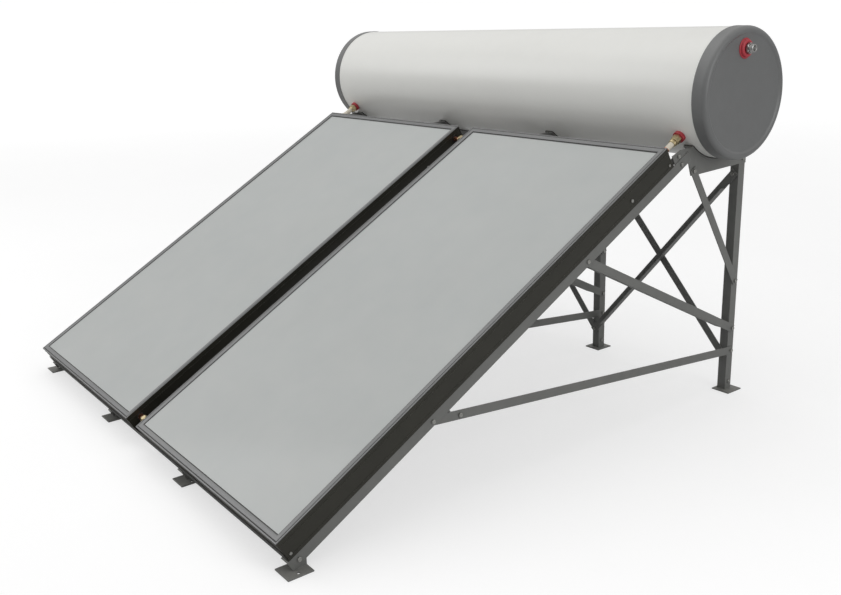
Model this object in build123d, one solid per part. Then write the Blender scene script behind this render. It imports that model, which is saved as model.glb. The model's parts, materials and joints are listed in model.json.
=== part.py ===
from build123d import *
from math import acos, cos, degrees, hypot, radians, sin, sqrt
import os

# A thermosiphon solar water heater: two flat-plate collectors side by side on a
# sloping steel stand, and an insulated horizontal tank behind their upper edge.
# Lengths are millimetres. +X runs along the tank, +Y to the rear and +Z up.
# The floor is Z = 0, and X = Y = 0 is the middle of the whole object's plan.

# ---- Driving dimensions ----
tilt = 29.8
collector_width = 1000.0
collector_length = 1780.0
collector_depth = 76.0
collector_gap = 93.0
glazing_edge_height = 107.0

tank_radius = 222.0
tank_half_length = 1131.0
tank_behind_front = 1840.0
tank_height = 1152.0
cap_depth = 53.0
cap_lap = 17.0
cap_radius = 224.0
barrel_radius = 172.0
barrel_half_length = 1020.0
head_depth = 46.0

steel = 3.0
rail_size = 35.0
brace_size = 30.0
outer_rail_face = 1042.0
inner_rail_face = 346.0
outer_leg_face = 1015.0
inner_leg_face = 356.0
rail_drop = 79.0
rail_lower_end = -8.0
rail_upper_end = 1868.0
rail_flange_end = 1792.0

leg_front = 1993.5
leg_top = 975.0
foot_length = 81.0
foot_width = 75.0
foot_thickness = 4.0
front_foot_centre = 56.0
rear_foot_centre = 2011.0
anchor_hole_radius = 5.0

bolt_radius = 4.0
bolt_hole_radius = 4.5
bolt_head_radius = 7.5
bolt_head_height = 5.3
bolt_beyond_nut = 4.0

pipe_radius = 11.0
pipe_bore = 10.0
header_setback = 44.0
header_depth = 34.0
port_x = 1005.0
outlet_rise = 150.0
outlet_radius = 13.3
outlet_bore = 9.5
outlet_reach = 32.0
outlet_forward = 14.0

# ---- Derived places ----
front_y = -(tank_behind_front + cap_radius) / 2
tank_y = front_y + tank_behind_front
leg_y = front_y + leg_front
half_span = collector_width + collector_gap / 2
slope_cos = cos(radians(tilt))
slope_sin = sin(radians(tilt))
slope = Plane(
    origin=(0, front_y, glazing_edge_height),
    x_dir=(1, 0, 0),
    z_dir=(0, -slope_sin, slope_cos),
)
rail_faces = [-outer_rail_face, -inner_rail_face, inner_rail_face, outer_rail_face]
leg_faces = [-outer_leg_face, -inner_leg_face, inner_leg_face, outer_leg_face]
leg_bolt_inset = 20.0
skew_gap = 0.8
strut_gap = 0.8
strut_leg_gap = 1.6


# ---- Helpers ----
def block(x_range, y_range, z_range):
    """A box between two values on each axis, given in either order."""
    low = [min(r) for r in (x_range, y_range, z_range)]
    high = [max(r) for r in (x_range, y_range, z_range)]
    size = [h - l for l, h in zip(low, high)]
    return Pos(*low) * Box(*size, align=(Align.MIN, Align.MIN, Align.MIN))


def on_slope(solid):
    """Places a solid drawn with X across, Y up the slope, Z out of the glazing."""
    return slope.location * solid


def slope_to_side(along, depth):
    """The (Y, Z) of a point up the slope and below the glazing face."""
    y = front_y + along * slope_cos + depth * slope_sin
    z = glazing_edge_height + along * slope_sin - depth * slope_cos
    return y, z


def rod_x(radius, x_range, y, z):
    """A cylinder along X."""
    low, high = min(x_range), max(x_range)
    start = Plane(origin=(low, y, z), x_dir=(0, 1, 0), z_dir=(1, 0, 0))
    return start.location * Cylinder(
        radius, high - low, align=(Align.CENTER, Align.CENTER, Align.MIN)
    )


def rod_y(radius, x, y_range, z):
    """A cylinder along Y."""
    low, high = min(y_range), max(y_range)
    start = Plane(origin=(x, low, z), x_dir=(1, 0, 0), z_dir=(0, 1, 0))
    return start.location * Cylinder(
        radius, high - low, align=(Align.CENTER, Align.CENTER, Align.MIN)
    )


def tube_x(radius, bore, x_range, y, z):
    """A tube along X."""
    return rod_x(radius, x_range, y, z) - rod_x(bore, x_range, y, z)


def tube_y(radius, bore, x, y_range, z):
    """A tube along Y."""
    return rod_y(radius, x, y_range, z) - rod_y(bore, x, y_range, z)


def hexagon_x(radius, x_range, y, z):
    """A hexagonal prism along X, with corners at the given radius."""
    low, high = min(x_range), max(x_range)
    start = Plane(origin=(low, y, z), x_dir=(0, 1, 0), z_dir=(1, 0, 0))
    return start.location * extrude(RegularPolygon(radius, 6), high - low)


def hexagon_y(radius, x, y_range, z):
    """A hexagonal prism along Y, with corners at the given radius."""
    low, high = min(y_range), max(y_range)
    start = Plane(origin=(x, low, z), x_dir=(1, 0, 0), z_dir=(0, 1, 0))
    return start.location * extrude(RegularPolygon(radius, 6), high - low)


def side_of(face):
    """+1 for a frame on the right half, -1 on the left half."""
    return 1 if face > 0 else -1


def layer(face, first, last):
    """The X range of a steel layer, counted inwards from a rail's outer face."""
    side = side_of(face)
    return face - side * first * steel, face - side * last * steel


node_parts = {}


def keep(name, *solids):
    """Adds solids to a node; each stays a separate piece."""
    node_parts.setdefault(name, []).extend(solids)


# ---- Stand: bolts, written down as they are placed ----
def bolt_x(side, head_seat, nut_seat, y, z):
    """A bolt along X with its head on the outer seat and its nut on the inner one."""
    head = hexagon_x(bolt_head_radius, (head_seat, head_seat + side * bolt_head_height), y, z)
    tip = nut_seat - side * (bolt_head_height + bolt_beyond_nut)
    shank = rod_x(bolt_radius, (head_seat, tip), y, z)
    nut = hexagon_x(bolt_head_radius, (nut_seat, nut_seat - side * bolt_head_height), y, z)
    thread = rod_x(bolt_radius + 0.05, (nut_seat + side, tip), y, z)
    keep("frame_bolts", head + shank)
    keep("frame_nuts", nut - thread)


def bolt_through_y(x, head_seat, stack, z):
    """A bolt along Y with its head to the front and its nut behind."""
    nut_seat = head_seat + stack * steel
    head = hexagon_y(bolt_head_radius, x, (head_seat - bolt_head_height, head_seat), z)
    tip = nut_seat + bolt_head_height + bolt_beyond_nut
    shank = rod_y(bolt_radius, x, (head_seat, tip), z)
    nut = hexagon_y(bolt_head_radius, x, (nut_seat, nut_seat + bolt_head_height), z)
    keep("frame_bolts", head + shank)
    keep("frame_nuts", nut - rod_y(bolt_radius + 0.05, x, (nut_seat - 1, tip), z))


def hole_x(face, y, z, radius=bolt_hole_radius):
    """A drill along X through every layer of one side frame."""
    return rod_x(radius, (face - 60, face + 60), y, z)


def hole_y(x, z):
    """A drill along Y through the rear frame's layers."""
    return rod_y(bolt_hole_radius, x, (leg_y - 30, leg_y + 60), z)


# ---- Stand: places of the joints in one side frame, as (Y, Z) ----
foot_joint = slope_to_side(24.0, 98.0)
lower_brace_rail = slope_to_side(565.0, 100.0)
lower_brace_leg = (leg_y + 17.5, 162.0)
upper_brace_rail = slope_to_side(1303.5, 100.0)
upper_brace_leg = (leg_y + 17.5, 252.0)
cradle_joint_upper = slope_to_side(1824.0, 66.0)
cradle_joint_lower = slope_to_side(1822.0, 97.0)
strut_top = (front_y + 1697.0, 898.0)
strut_leg = (leg_y + 15.0, 442.0)
cradle_leg_joints = [(leg_y + 17.5, 905.0), (leg_y + 17.5, 952.0)]
rear_foot_joint = (leg_y + 19.0, 34.0)
gusset_joint_along = 106.0
cross_brace_tops = [847.0, 855.0, 855.0, 847.0]
cross_brace_feet = [144.0, 89.0, 89.0, 144.0]


def bar_frame(start, end):
    """The plane of a side bar's outer surface; start and end are (X, Y, Z)."""
    run = Vector(*end) - Vector(*start)
    along = run.normalized()
    outward = (Vector(1, 0, 0) - along * along.X).normalized()
    return Plane(origin=start, x_dir=along, z_dir=outward), run.length


def side_bar(side, start, end, flange_from, flange_to, flange_edge=-1):
    """An angle bar in a side frame, the flange along one edge pointing inwards."""
    frame, length = bar_frame(start, end)
    half = brace_size / 2
    edge = flange_edge * half
    end_lap = 9.0
    web = block((-end_lap, length + end_lap), (-half, half), (0, -side * steel))
    flange = block(
        (flange_from, length - flange_to), (edge, edge - flange_edge * steel), (0, -side * brace_size)
    )
    return frame.location * (web + flange)


def rear_bar(start, end, front_layer, flange_forward):
    """An angle bar across the rear frame; start and end are (X, Z)."""
    run = (end[0] - start[0], end[1] - start[1])
    length = hypot(*run)
    frame = Plane(
        origin=(start[0], leg_y - front_layer * steel, start[1]),
        x_dir=(run[0] / length, 0, run[1] / length),
        z_dir=(0, -1, 0),
    )
    half = brace_size / 2
    end_lap = 14.0
    notch = 62.0
    web = block((-end_lap, length + end_lap), (-half, half), (0, steel))
    if flange_forward:
        flange = block((notch, length - notch), (-half, -half + steel), (0, brace_size))
    else:
        flange = block((notch, length - notch), (-half, -half + steel), (steel - brace_size, steel))
    return frame.location * (web + flange)


def make_rail(face):
    """One sloping rail: an angle with its web on the outer side."""
    side = side_of(face)
    ends = (rail_lower_end, rail_upper_end)
    web = block((face, face - side * steel), ends, (-rail_drop - rail_size, -rail_drop))
    flange_ends = (rail_lower_end, rail_flange_end)
    top = block((face, face - side * rail_size), flange_ends, (-rail_drop - steel, -rail_drop))
    rail = on_slope(web + top)
    for joint in (foot_joint, lower_brace_rail, upper_brace_rail, cradle_joint_lower):
        rail -= hole_x(face, *joint)
    return rail


def make_leg(number):
    """One rear leg: an angle with its corner to the front and outside."""
    outer = leg_faces[number]
    side = side_of(outer)
    front = block((outer, outer - side * rail_size), (leg_y, leg_y + steel), (foot_thickness, leg_top))
    flank = block((outer, outer - side * steel), (leg_y, leg_y + rail_size), (foot_thickness, leg_top))
    leg = front + flank
    joints = [lower_brace_leg, upper_brace_leg, strut_leg, rear_foot_joint] + cradle_leg_joints
    for joint in joints:
        leg -= hole_x(outer, *joint)
    for height in (cross_brace_tops[number], cross_brace_feet[number]):
        leg -= hole_y(outer - side * leg_bolt_inset, height)
    return leg


def make_foot(plate_x, centre_y, tab_x, tab_y, joint, tab_height):
    """A foot plate with an upright tab."""
    plate = block(
        (plate_x - foot_width / 2, plate_x + foot_width / 2),
        (centre_y - foot_length / 2, centre_y + foot_length / 2),
        (0, foot_thickness),
    )
    tab = block(tab_x, tab_y, (foot_thickness / 2, tab_height))
    return plate + tab - hole_x(tab_x[0], *joint)


def front_anchor(face):
    """The (X, Y) of a front foot's anchor hole."""
    return face + side_of(face) * 16.0, front_y + front_foot_centre


def rear_anchor(face):
    """The (X, Y) of a rear foot's anchor hole."""
    return face - side_of(face) * 22.0, front_y + rear_foot_centre + 28.5


def arc_point(radius, angle):
    """The (Y, Z) on a circle about the tank's axis."""
    return tank_y + radius * cos(radians(angle)), tank_height + radius * sin(radians(angle))


cradle_half_angle = 41.5
pad_thickness = 3.5
saddle_inner = tank_radius + 0.2 + pad_thickness + 0.1
saddle_outer = saddle_inner + steel
saddle_width = 40.0


def arc_band(inner, outer, x_range):
    """A curved strip under the tank, centred on its lowest line."""
    low_angle = -90 - cradle_half_angle
    high_angle = -90 + cradle_half_angle
    with BuildSketch(Plane(origin=(min(x_range), 0, 0), x_dir=(0, 1, 0), z_dir=(1, 0, 0))) as band:
        with BuildLine():
            outer_arc = ThreePointArc(
                arc_point(outer, low_angle), arc_point(outer, -90), arc_point(outer, high_angle)
            )
            inner_arc = ThreePointArc(
                arc_point(inner, low_angle), arc_point(inner, -90), arc_point(inner, high_angle)
            )
            Line(outer_arc @ 0, inner_arc @ 0)
            Line(outer_arc @ 1, inner_arc @ 1)
        make_face()
    return extrude(band.sketch, max(x_range) - min(x_range))


def make_cradle(face, leg_face):
    """A joggled web between a rail's top end and a leg, with a curved saddle strip."""
    side = side_of(face)
    low_angle = -90 - cradle_half_angle
    high_angle = -90 + cradle_half_angle
    rear_edge = leg_y + rail_size
    reach = 1200.0
    with BuildSketch(Plane(origin=(-reach, 0, 0), x_dir=(0, 1, 0), z_dir=(1, 0, 0))) as web:
        with BuildLine():
            saddle = ThreePointArc(
                arc_point(saddle_outer - 1, low_angle),
                arc_point(saddle_outer - 1, -90),
                arc_point(saddle_outer - 1, high_angle),
            )
            Polyline(
                saddle @ 1,
                (rear_edge, 979.0),
                (rear_edge, 888.0),
                (front_y + 1730.0, 882.0),
                (front_y + 1686.0, 882.0),
                slope_to_side(1858.0, 113.0),
                slope_to_side(1796.0, 113.0),
                slope_to_side(1796.0, 46.0),
                slope_to_side(1842.0, 52.0),
                saddle @ 0,
            )
        make_face()
    profile = extrude(web.sketch, 2 * reach)
    front_x = face - side * steel
    rear_x = leg_face + side * steel
    turn_front = front_y + (1706.0 if abs(face) > 500 else 1722.0)
    turn_rear = leg_y - 12.0
    outer_line = [
        (front_x, turn_front - 300), (front_x, turn_front), (rear_x, turn_rear), (rear_x, turn_rear + 200)
    ]
    inner_line = [(x - side * steel, y) for x, y in reversed(outer_line)]
    with BuildSketch(Plane.XY.offset(700)) as plan:
        with BuildLine():
            Polyline(*outer_line, *inner_line, close=True)
        make_face()
    plate = profile & extrude(plan.sketch, 500)
    widest = max(abs(front_x), abs(rear_x)) + (0 if abs(front_x) > abs(rear_x) else steel)
    strip_range = (side * widest, side * (widest - saddle_width))
    plate += arc_band(saddle_inner, saddle_outer, strip_range)
    for joint in [cradle_joint_upper, cradle_joint_lower, strut_top] + cradle_leg_joints:
        plate -= hole_x(face, *joint)
    pad = arc_band(tank_radius + 0.2, tank_radius + 0.2 + pad_thickness, strip_range)
    return plate, pad


def make_gusset(side, start, end):
    """A small plate behind the lower brace, filling its corner with the rail."""
    frame, length = bar_frame(start, end)
    corners = [(-13, -10), (118, -11), (118, 11), (72, 14), (58, 31), (40, 24), (-11, 8)]
    with BuildSketch(Plane.XY) as shape:
        with BuildLine():
            Polyline(*corners, close=True)
        make_face()
    plate = extrude(shape.sketch, -side * steel)
    return frame.location * (Pos(0, 0, -side * steel) * plate)


def make_side_frame(number):
    """One rail, its leg, the bars between them, two feet and a cradle."""
    face = rail_faces[number]
    leg_face = leg_faces[number]
    side = side_of(face)
    keep(f"rail_{number + 1}", make_rail(face))
    keep(f"rear_leg_{number + 1}", make_leg(number))

    plate_x = face - side * 2 * steel
    front_foot = make_foot(
        plate_x, front_y + front_foot_centre, layer(face, 1, 2),
        (front_y + 58.0, front_y + 94.0), foot_joint, 43.0,
    )
    drill = Pos(*front_anchor(face), 0) * Cylinder(anchor_hole_radius, 30)
    keep("front_foot_plates", front_foot - drill)
    plate_x = leg_face - side * (5.0 if abs(face) > 500 else 18.0)
    rear_foot = make_foot(
        plate_x, front_y + rear_foot_centre, layer(leg_face, 1, 2),
        (leg_y + steel + 0.5, leg_y + rail_size), rear_foot_joint, 52.0,
    )
    drill = Pos(*rear_anchor(leg_face), 0) * Cylinder(anchor_hole_radius, 30)
    keep("rear_foot_plates", rear_foot - drill)

    rail_x = face - side * (steel + skew_gap)
    leg_x = leg_face + side * (steel + skew_gap)
    lower_ends = (rail_x, *lower_brace_rail), (leg_x, *lower_brace_leg)
    upper_ends = (rail_x, *upper_brace_rail), (leg_x, *upper_brace_leg)
    strut_x = leg_face + side * (steel + strut_leg_gap)
    strut_ends = (face + side * strut_gap, *strut_top), (strut_x, *strut_leg)
    lower = side_bar(side, *lower_ends, 124.0, 62.0)
    upper = side_bar(side, *upper_ends, 40.0, 70.0)
    strut = side_bar(side, *strut_ends, 60.0, 76.0, 1)
    gusset = make_gusset(side, *lower_ends)
    lower_frame, lower_length = bar_frame(*lower_ends)
    gusset_joint = lower_frame.from_local_coords(Vector(gusset_joint_along, 0, 0))
    gusset_hole = hole_x(gusset_joint.X, gusset_joint.Y, gusset_joint.Z)
    lower = lower - hole_x(face, *lower_brace_rail) - hole_x(face, *lower_brace_leg) - gusset_hole
    keep("lower_side_braces", lower)
    keep("brace_gussets", gusset - hole_x(face, *lower_brace_rail) - gusset_hole)
    keep("upper_side_braces", upper - hole_x(face, *upper_brace_rail) - hole_x(face, *upper_brace_leg))
    keep("cradle_struts", strut - hole_x(face, *strut_top) - hole_x(face, *strut_leg))
    cradle, pad = make_cradle(face, leg_face)
    keep("tank_cradles", cradle)
    keep("saddle_pads", pad)

    behind = face - side * 2 * steel
    leg_back = leg_face - side * steel
    bolt_x(side, face, behind, *foot_joint)
    bolt_x(side, face, behind - side * (steel + 2 * skew_gap), *lower_brace_rail)
    bolt_x(side, gusset_joint.X + side * skew_gap, gusset_joint.X - side * (2 * steel + skew_gap),
           gusset_joint.Y, gusset_joint.Z)
    bolt_x(side, face, behind - side * 2 * skew_gap, *upper_brace_rail)
    bolt_x(side, leg_x + side * skew_gap, leg_back, *lower_brace_leg)
    bolt_x(side, leg_x + side * skew_gap, leg_back, *upper_brace_leg)
    bolt_x(side, face - side * steel, face - side * 3 * steel, *cradle_joint_upper)
    bolt_x(side, face, behind, *cradle_joint_lower)
    bolt_x(side, face + side * 2 * strut_gap, behind, *strut_top)
    bolt_x(side, strut_x + side * skew_gap, leg_back, *strut_leg)
    bolt_x(side, leg_face, leg_back - side * steel, *rear_foot_joint)
    for joint in cradle_leg_joints:
        bolt_x(side, leg_face + side * steel, leg_back, *joint)


def make_rear_frame():
    """Crossed bars in the three bays between the rear legs."""
    places = [face - side_of(face) * leg_bolt_inset for face in leg_faces]
    for bay in range(3):
        left, right = places[bay], places[bay + 1]
        high_left, high_right = cross_brace_tops[bay], cross_brace_tops[bay + 1]
        low_left, low_right = cross_brace_feet[bay], cross_brace_feet[bay + 1]
        falling = rear_bar((left, high_left), (right, low_right), 0, False)
        rising = rear_bar((left, low_left), (right, high_right), 1, True)
        keep("falling_rear_braces", falling - hole_y(left, high_left) - hole_y(right, low_right))
        keep("rising_rear_braces", rising - hole_y(left, low_left) - hole_y(right, high_right))
    for number, x in enumerate(places):
        for heights, outer_end in ((cross_brace_tops, 3), (cross_brace_feet, 0)):
            height = heights[number]
            other_end = 3 - outer_end
            if number == other_end:
                bolt_through_y(x, leg_y - steel, 2, height)
                continue
            bolt_through_y(x, leg_y - 2 * steel, 3, height)
            if number == outer_end:
                ring = (leg_y - steel, leg_y)
                keep("spacer_washers", tube_y(8.0, bolt_hole_radius, x, ring, height))


def make_stand():
    """Rails, legs, braces, cradles, feet and their bolts."""
    for number in range(4):
        make_side_frame(number)
    make_rear_frame()


def make_cross_rails():
    """The two long angles that carry the collectors' lower and upper ends."""
    reach = (-outer_rail_face, outer_rail_face)
    seat = (-rail_drop, -collector_depth)
    stop_size = 30.0
    lower = block(reach, (-steel, stop_size), seat)
    lower += block(reach, (-steel, 0), (-rail_drop, -rail_drop + stop_size))
    keep("lower_cross_rail", on_slope(lower))

    end = collector_length
    upper = block(reach, (end - stop_size, end + steel), seat)
    upper += block(reach, (end, end + steel), (-rail_drop, -50.0))
    for face in rail_faces:
        upper += block(layer(face, 2, 3), (end, end + 56), (-rail_drop + 0.5, -54.0))
    upper = on_slope(upper)
    for face in rail_faces:
        upper -= hole_x(face, *cradle_joint_upper)
    keep("upper_cross_rail", upper)


# ---- Collectors ----
wall_thickness = 2.0
rib_height = 1.0
trim_width = 27.0
trim_thickness = 2.0
glass_thickness = 3.2
glass_top = -3.8
insulation_top = -46.0
header_hole_radius = 14.0
riser_radius = 5.0
riser_count = 8
stub_end = 2.0


def ring_block(x_range, outset, inset, z_range):
    """A rectangular ring in a collector's plane, between two insets from its edge."""
    low, high = min(x_range), max(x_range)
    outer = block((low + outset, high - outset), (outset, collector_length - outset), z_range)
    inner = block((low + inset, high - inset), (inset, collector_length - inset),
                  (z_range[0] - 1, z_range[1] + 1))
    return outer - inner


def mitred(ring, x_range):
    """Cuts a ring into its four profiles along the corner mitres."""
    low, high = min(x_range), max(x_range)
    middle = (low + high) / 2
    reach = (high - low) / 2
    length = collector_length
    outlines = [
        [(low, 0), (low, length), (middle, length - reach), (middle, reach)],
        [(high, 0), (high, length), (middle, length - reach), (middle, reach)],
        [(low, 0), (high, 0), (middle, reach)],
        [(low, length), (high, length), (middle, length - reach)],
    ]
    profiles = []
    for outline in outlines:
        with BuildSketch(Plane.XY.offset(-collector_depth - 5)) as shape:
            with BuildLine():
                Polyline(*outline, close=True)
            make_face()
        profiles.append(ring & extrude(shape.sketch, collector_depth + 20))
    return profiles


def header_openings(x_range):
    """Drills for the header stubs through a collector's side walls."""
    low, high = min(x_range), max(x_range)
    drills = []
    for along in (header_setback, collector_length - header_setback):
        inner_edge = high if high < 0 else low
        drills.append(rod_x(header_hole_radius, (inner_edge - 8, inner_edge + 8), along, -header_depth))
    if low < 0:
        drills.append(rod_x(header_hole_radius, (low - 8, low + 8), header_setback, -header_depth))
    else:
        end = (collector_length - 8, collector_length + 8)
        drills.append(rod_y(header_hole_radius, port_x, end, -header_depth))
    return drills


def make_collector(name, x_range):
    """One flat-plate collector: casing, glazing, absorber harp and insulation."""
    low, high = min(x_range), max(x_range)
    bottom = -collector_depth

    casing = ring_block(x_range, rib_height, rib_height + wall_thickness, (bottom, -trim_thickness))
    for band in ((bottom, -66.0), (-20.0, -17.5), (-9.0, -trim_thickness)):
        casing += ring_block(x_range, 0, rib_height + 0.5, band)
    casing += ring_block(x_range, 2.5, 21.0, (bottom, bottom + 2))
    casing += ring_block(x_range, 2.5, 15.0, (-11.0, -9.0))
    for drill in header_openings(x_range):
        casing -= drill
    keep(f"{name}_casing_profiles", *[on_slope(p) for p in mitred(casing, x_range)])

    trim = ring_block(x_range, 0, trim_width, (-trim_thickness, -0.8))
    trim += ring_block(x_range, 0, 4.5, (-1.0, 0))
    trim += ring_block(x_range, 8.0, trim_width, (-1.0, 0))
    keep(f"{name}_glazing_trim", *[on_slope(p) for p in mitred(trim, x_range)])

    glass = block((low + 7, high - 7), (7, collector_length - 7), (glass_top - glass_thickness, glass_top))
    keep(f"{name}_glass", on_slope(glass))
    gasket = ring_block(x_range, 3.5, 24.0, (-9.0, -trim_thickness)) - glass
    keep(f"{name}_gasket", on_slope(gasket))

    back = block((low + 3.2, high - 3.2), (3.2, collector_length - 3.2), (bottom + 2, bottom + 3))
    keep(f"{name}_back_sheet", on_slope(back))
    wool = block((low + 4, high - 4), (4, collector_length - 4), (bottom + 3, insulation_top))
    keep(f"{name}_insulation", on_slope(wool))

    absorber_top = -header_depth + riser_radius + 0.6
    absorber = block(
        (low + 20, high - 20),
        (header_setback + 18, collector_length - header_setback - 18),
        (absorber_top - 0.6, absorber_top),
    )
    keep(f"{name}_absorber", on_slope(absorber))

    for header in make_headers(x_range):
        keep(f"{name}_headers", on_slope(header))

    pitch = (high - low - 120) / (riser_count - 1)
    riser_ends = (header_setback + pipe_radius, collector_length - header_setback - pipe_radius)
    for number in range(riser_count):
        x = low + 60 + number * pitch
        riser = tube_y(riser_radius, riser_radius - 0.7, x, riser_ends, -header_depth)
        keep(f"{name}_risers", on_slope(riser))


def make_headers(x_range):
    """The lower and upper header pipes of one collector."""
    low, high = min(x_range), max(x_range)
    upper_along = collector_length - header_setback
    closed_wall = 2.0
    if low < 0:
        lower = tube_x(pipe_radius, pipe_bore, (low - 13.5, -stub_end), header_setback, -header_depth)
        blind = (low + 26, -stub_end)
        upper = rod_x(pipe_radius, blind, upper_along, -header_depth)
        bore = (blind[0] + closed_wall, 5)
        upper -= rod_x(pipe_bore, bore, upper_along, -header_depth)
        return [lower, upper]
    blind = (stub_end, high - 26)
    bore = (-5, blind[1] - closed_wall)
    lower = rod_x(pipe_radius, blind, header_setback, -header_depth)
    lower -= rod_x(pipe_bore, bore, header_setback, -header_depth)
    outlet = (upper_along, collector_length + 34)
    upper = rod_x(pipe_radius, blind, upper_along, -header_depth)
    upper += rod_y(pipe_radius, port_x, outlet, -header_depth)
    upper -= rod_x(pipe_bore, bore, upper_along, -header_depth)
    upper -= rod_y(pipe_bore, port_x, (upper_along, outlet[1] + 5), -header_depth)
    return [lower, upper]


def make_header_seals():
    """Rubber grommets where the header stubs leave the casings."""
    half_gap = collector_gap / 2
    bore = pipe_radius + 0.1
    outer = header_hole_radius - 0.1
    upper_along = collector_length - header_setback
    seals = []
    for along in (header_setback, upper_along):
        for wall in (-half_gap, half_gap):
            inward = (wall - side_of(wall) * 3, wall + side_of(wall) * 4)
            seals.append(tube_x(outer, bore, inward, along, -header_depth))
    left_wall = -half_span
    seals.append(tube_x(outer, bore, (left_wall - 3, left_wall + 4), header_setback, -header_depth))
    top_wall = (collector_length - 4, collector_length + 3)
    seals.append(tube_y(outer, bore, port_x, top_wall, -header_depth))
    keep("header_grommets", *[on_slope(seal) for seal in seals])


def make_casing_fixings():
    """Corner screws and breather plugs on the collectors' side walls."""
    half_gap = collector_gap / 2
    screw_head = 4.5
    for wall in (-half_span, -half_gap, half_gap, half_span):
        outward = 1 if wall in (-half_gap, half_span) else -1
        for along in (16.0, collector_length - 16.0):
            start = wall - outward * rib_height
            head = rod_x(screw_head, (start, start + outward * 3.0), along, -59.0)
            keep("corner_screws", on_slope(head))
    for wall in (-half_gap, half_span):
        start = wall - rib_height
        plug = rod_x(5.5, (start, start + 3.5), 1559.0, -50.0)
        keep("breather_plugs", on_slope(plug))


# ---- Pipework ----
union_hex = 17.0
union_start = 1864.0
union_end = 1882.0
hose_radius = 14.0


def make_pipework():
    """Couplings, the hot riser and the cold return between collectors and tank."""
    depth = -header_depth
    bore = pipe_radius + 0.1
    half_coupling = 12.0
    couplings = [(0.0, header_setback), (0.0, collector_length - header_setback)]
    couplings.append((-half_span - 3.5 - half_coupling, header_setback))
    for x, along in couplings:
        ends = (x - half_coupling, x + half_coupling)
        body = rod_x(15.0, ends, along, depth)
        body += hexagon_x(18.0, (x - 7, x + 7), along, depth)
        keep("header_couplings", on_slope(body - rod_x(bore, (ends[0] - 1, ends[1] + 1), along, depth)))

    for x in (-port_x, port_x):
        nut = hexagon_y(union_hex, x, (union_start, union_end), depth)
        nut += rod_y(15.0, x, (union_start - 7, union_start + 1), depth)
        nut -= rod_y(bore, x, (union_start - 8, union_end + 1), depth)
        keep("tank_unions", on_slope(nut))

    hose = tube_y(hose_radius, bore, port_x, (collector_length + 6, union_start - 8), depth)
    keep("hot_riser_pipe", on_slope(hose))

    run_x = -half_span - 49.5
    turn_along = collector_length + 27
    corners = [
        (-port_x, union_start + 4, depth),
        (-port_x, turn_along, depth),
        (run_x, turn_along, depth),
        (run_x, header_setback, depth),
        (-half_span - 14.5, header_setback, depth),
    ]
    route = FilletPolyline(*corners, radius=20)
    start = Plane(origin=corners[0], z_dir=(0, -1, 0))
    outer = sweep(start * Circle(pipe_radius), path=route)
    inner = sweep(start * Circle(pipe_bore), path=route)
    keep("cold_return_pipe", on_slope(outer - inner))


# ---- Tank ----
shell_thickness = 1.0
cap_thickness = 1.5
barrel_thickness = 2.0
head_corner = 26.0
port_seal_radius = 21.0
end_seal_radius = 34.0
end_seal_thickness = 13.0
dish_radius = 196.0
dish_depth = 5.0


def tank_rod(radius, x_range):
    """A cylinder on the tank's axis."""
    return rod_x(radius, x_range, tank_y, tank_height)


def head_profile(inset):
    """A domed head as a solid of revolution, offset inwards by its wall."""
    radius = barrel_radius - inset
    depth = head_depth - inset
    sphere = (radius * radius + depth * depth) / (2 * depth)
    centre_x = barrel_half_length + depth - sphere
    half_angle = acos((sphere - depth) / sphere)
    mid_x = centre_x + sphere * cos(half_angle / 2)
    mid_r = sphere * sin(half_angle / 2)
    with BuildSketch(Plane.XY) as profile:
        with BuildLine():
            Line((barrel_half_length, 0), (barrel_half_length + depth, 0))
            ThreePointArc((barrel_half_length + depth, 0), (mid_x, mid_r), (barrel_half_length, radius))
            Line((barrel_half_length, radius), (barrel_half_length, 0))
        make_face()
    return Pos(0, tank_y, tank_height) * revolve(profile.sketch, Axis.X)


def make_cap():
    """A right-hand end cap: a pan with a rounded edge and a dished face."""
    start = tank_half_length - cap_depth
    corner = 16.0
    inner_radius = cap_radius - cap_thickness
    face_x = tank_half_length
    outline = [
        (start, cap_radius),
        (face_x - corner, cap_radius),
        (face_x, cap_radius - corner),
        (face_x, dish_radius + dish_depth),
        (face_x - dish_depth, dish_radius),
        (face_x - dish_depth, 0),
        (face_x - dish_depth - cap_thickness, 0),
        (face_x - dish_depth - cap_thickness, dish_radius + 1),
        (face_x - cap_thickness, dish_radius + dish_depth + 1),
        (face_x - cap_thickness, cap_radius - corner - 0.5),
        (face_x - corner - 0.5, inner_radius),
        (start, inner_radius),
    ]
    with BuildSketch(Plane.XY) as profile:
        with BuildLine():
            Line(outline[0], outline[1])
            RadiusArc(outline[1], outline[2], corner)
            Polyline(*outline[2:10])
            RadiusArc(outline[9], outline[10], -(corner - 1.0))
            Polyline(outline[10], outline[11], outline[0])
        make_face()
    return Pos(0, tank_y, tank_height) * revolve(profile.sketch, Axis.X)


def mirrored(solid):
    """The same piece on the left end."""
    return mirror(solid, about=Plane.YZ)


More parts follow.
